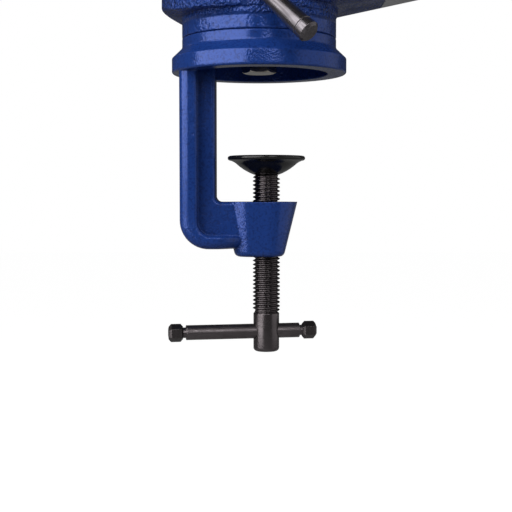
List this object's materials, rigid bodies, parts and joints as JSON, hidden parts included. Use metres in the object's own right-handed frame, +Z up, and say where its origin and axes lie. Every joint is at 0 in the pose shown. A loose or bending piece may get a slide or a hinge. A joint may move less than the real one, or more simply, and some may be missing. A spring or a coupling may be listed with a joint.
{
  "type": "clamp-on swivel bench vise",
  "caption": "Small blue cast-iron bench vise that clamps to a table edge, with a swivel base, a lock lever, a dovetail slide with gib, an anvil end and a sliding-bar handle.",
  "frame": {"origin": "on the swivel axis, in the plane of the table face under the base ring", "axes": "+Z up along the swivel axis, +X from the main handle to the anvil end, -Y to the side of the lock lever"},
  "size_m": [0.1821, 0.134, 0.2235],
  "materials": {
    "blue_enamel": "sand-cast iron with semi-gloss blue enamel, bare ground metal on the anvil end and the slide ways",
    "black_oxide": "blackened turned steel with worn edges",
    "black_enamel": "gloss black enamel on pressed steel",
    "zinc_plate": "zinc-plated steel with a warm sheen",
    "ground_steel": "bare ground steel",
    "grey_iron": "bare machined grey iron",
    "brass": "bare brass"
  },
  "bodies": {
    "base": {"clamp_frame": "blue_enamel"},
    "clamp_pad": {"clamp_pad": "black_enamel"},
    "clamp_screw": {"clamp_screw": "black_oxide"},
    "clamp_bar": {"clamp_bar": "black_oxide", "clamp_bar_knobs": "black_oxide"},
    "head": {"vise_body": "blue_enamel", "pivot_bolt": "zinc_plate", "pivot_washer": "zinc_plate", "pivot_spring_washer": "zinc_plate", "fixed_jaw_plate": "ground_steel", "fixed_jaw_screws": "black_oxide", "spindle_nut": "grey_iron", "gib_strip": "brass", "gib_screws": "black_oxide", "gib_lock_nuts": "zinc_plate"},
    "lock_plug": {"lock_plug": "brass"},
    "lock_lever": {"lock_lever": "zinc_plate"},
    "moving_jaw": {"moving_jaw": "blue_enamel", "moving_jaw_plate": "ground_steel", "moving_jaw_screws": "black_oxide"},
    "spindle": {"spindle": "ground_steel", "spindle_washer": "zinc_plate", "spindle_collar": "black_oxide", "spindle_collar_pin": "ground_steel"},
    "spindle_handle": {"spindle_handle": "zinc_plate", "spindle_handle_knobs": "zinc_plate"}
  },
  "joints": [
    {"name": "swivel", "type": "hinge", "parent": "base", "child": "head", "pos_m": [0, 0, 0], "axis": [0, 0, 1], "continuous": true},
    {"name": "clamp_travel", "type": "slide", "parent": "base", "child": "clamp_pad", "axis": [0, 0, 1], "range_m": [-0.0114, 0.0246]},
    {"name": "clamp_turn", "type": "hinge", "parent": "clamp_pad", "child": "clamp_screw", "pos_m": [0.0032, 0, -0.1], "axis": [0, 0, 1], "range_deg": [-2340, 5040]},
    {"name": "clamp_bar_slide", "type": "slide", "parent": "clamp_screw", "child": "clamp_bar", "axis": [0.9816, 0.1908, 0], "range_m": [-0.0102, 0.0312]},
    {"name": "lock_plug_slide", "type": "slide", "parent": "head", "child": "lock_plug", "axis": [0, -1, 0], "range_m": [0, 0.00043]},
    {"name": "lock_turn", "type": "hinge", "parent": "lock_plug", "child": "lock_lever", "pos_m": [0, -0.03, 0.0314], "axis": [0, -1, 0], "range_deg": [0, 150]},
    {"name": "jaw_slide", "type": "slide", "parent": "head", "child": "moving_jaw", "axis": [-1, 0, 0], "range_m": [-0.01495, 0.03005]},
    {"name": "spindle_turn", "type": "hinge", "parent": "moving_jaw", "child": "spindle", "pos_m": [-0.07, 0, 0.0548], "axis": [-1, 0, 0], "range_deg": [-1788, 3600]},
    {"name": "spindle_handle_slide", "type": "slide", "parent": "spindle", "child": "spindle_handle", "axis": [0, 1, 0], "range_m": [-0.0417, 0.0417]}
  ],
  "couplings": [
    {"joint": "clamp_travel", "follows": "clamp_turn", "m_per_rad": 0.00027852},
    {"joint": "lock_plug_slide", "follows": "lock_turn", "m_per_rad": 0.00015915},
    {"joint": "jaw_slide", "follows": "spindle_turn", "m_per_rad": 0.00047746}
  ]
}
